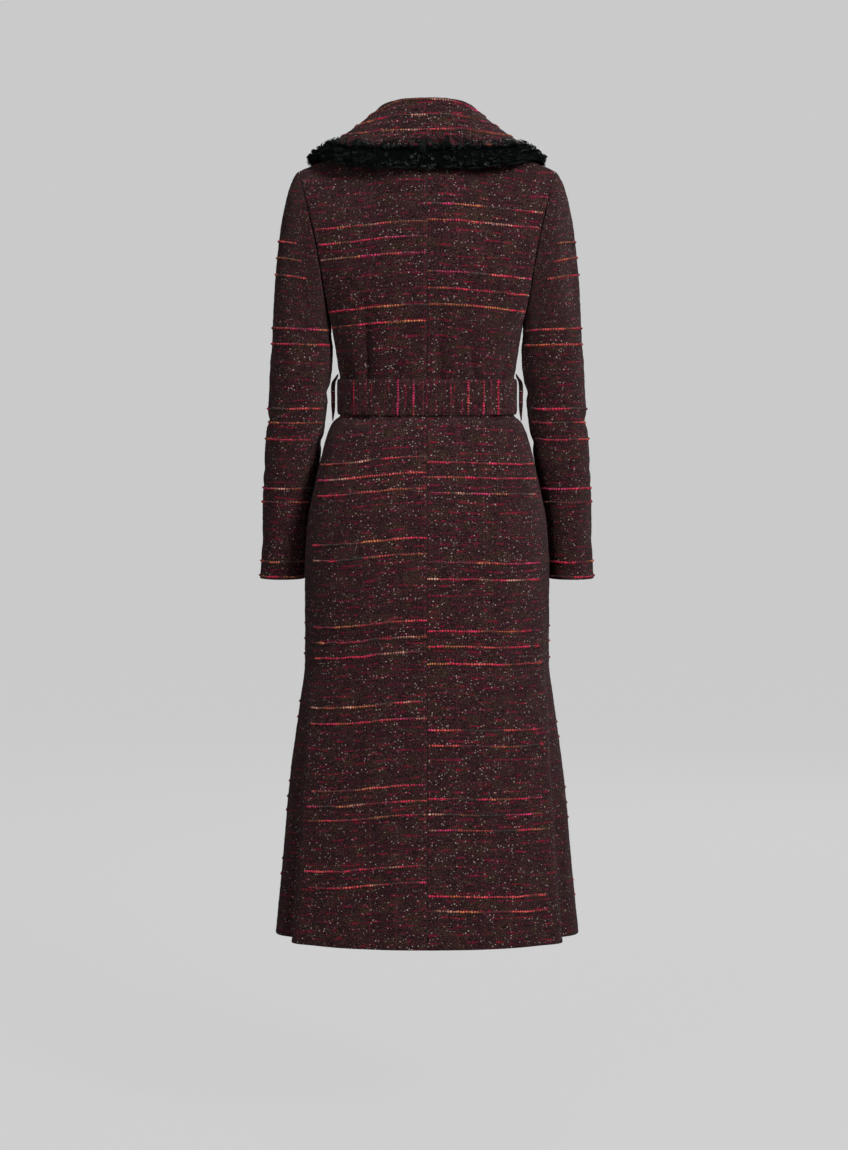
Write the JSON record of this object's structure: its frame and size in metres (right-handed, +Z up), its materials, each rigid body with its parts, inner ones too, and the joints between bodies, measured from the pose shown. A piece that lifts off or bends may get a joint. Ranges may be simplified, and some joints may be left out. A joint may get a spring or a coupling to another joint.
{
  "type": "long belted tweed coat with a fur-edged collar",
  "caption": "Long fitted tweed coat in the shape of a wearer, with a wide fur-edged collar, set-in sleeves, a belt in side loops and a flared skirt.",
  "frame": {"origin": "midway between the shoulders at the height of the back neck seam, where the wearer's shoulders carry the coat", "axes": "+Z up, the front of the coat faces -Y, its left side lies at +X"},
  "size_m": [0.5234, 0.357, 1.2858],
  "materials": {
    "tweed": "matt brown-plum woollen tweed with dashed crimson, pink, orange and gold lines",
    "fur": "short black fur with a faint cool sheen"
  },
  "bodies": {
    "root": {"back_bodice_left": "tweed", "back_bodice_right": "tweed", "front_bodice_left": "tweed", "front_bodice_right": "tweed", "back_skirt_left": "tweed", "back_skirt_right": "tweed", "front_skirt_left": "tweed", "front_skirt_right": "tweed", "sleeve_left": "tweed", "sleeve_right": "tweed", "belt_loop_left": "tweed", "belt_loop_right": "tweed", "collar": "tweed", "belt": "tweed", "fur_trim": "fur"}
  },
  "joints": []
}
